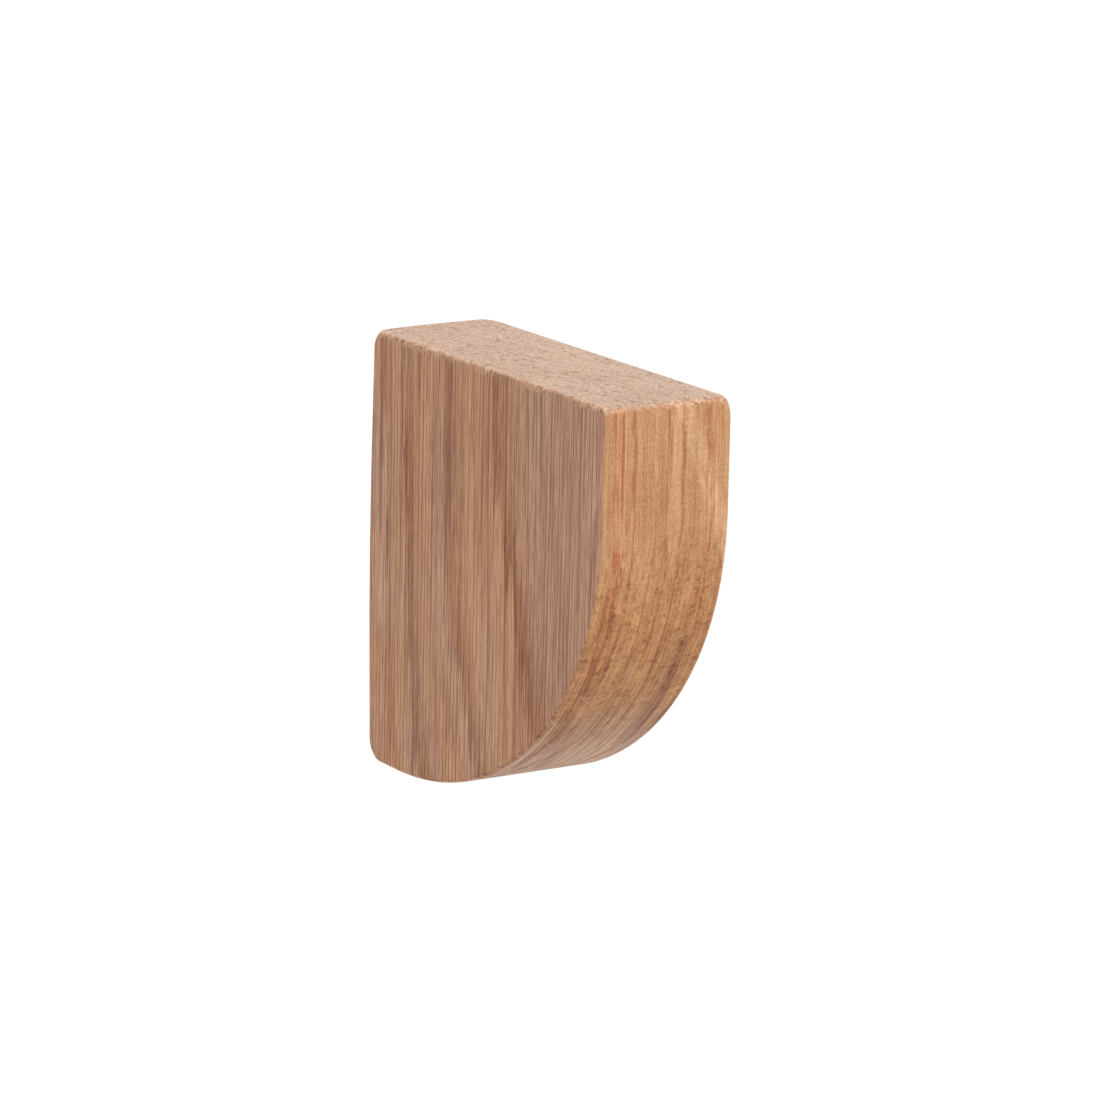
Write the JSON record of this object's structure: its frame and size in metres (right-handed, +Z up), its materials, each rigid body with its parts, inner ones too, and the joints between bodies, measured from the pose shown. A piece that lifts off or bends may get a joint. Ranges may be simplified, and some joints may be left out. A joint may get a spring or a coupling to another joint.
{
  "type": "door stop",
  "caption": "Quarter-round solid oak block with a flat back and a hidden threaded insert; screws to a wall as a door stop or peg.",
  "frame": {"origin": "the mouth of the threaded insert, on the block's flat back and centre plane: the point where it fixes to the wall", "axes": "+Y into the wall, so the block stands out towards -Y; +X across the width; +Z up, with the flat end-grain face on top"},
  "size_m": [0.0194, 0.0594, 0.06],
  "materials": {
    "oak": "fine-sanded, thin matt oil",
    "insert_brass": "turned, plain"
  },
  "bodies": {
    "root": {"oak_block": "oak", "threaded_insert": "insert_brass"}
  },
  "joints": []
}
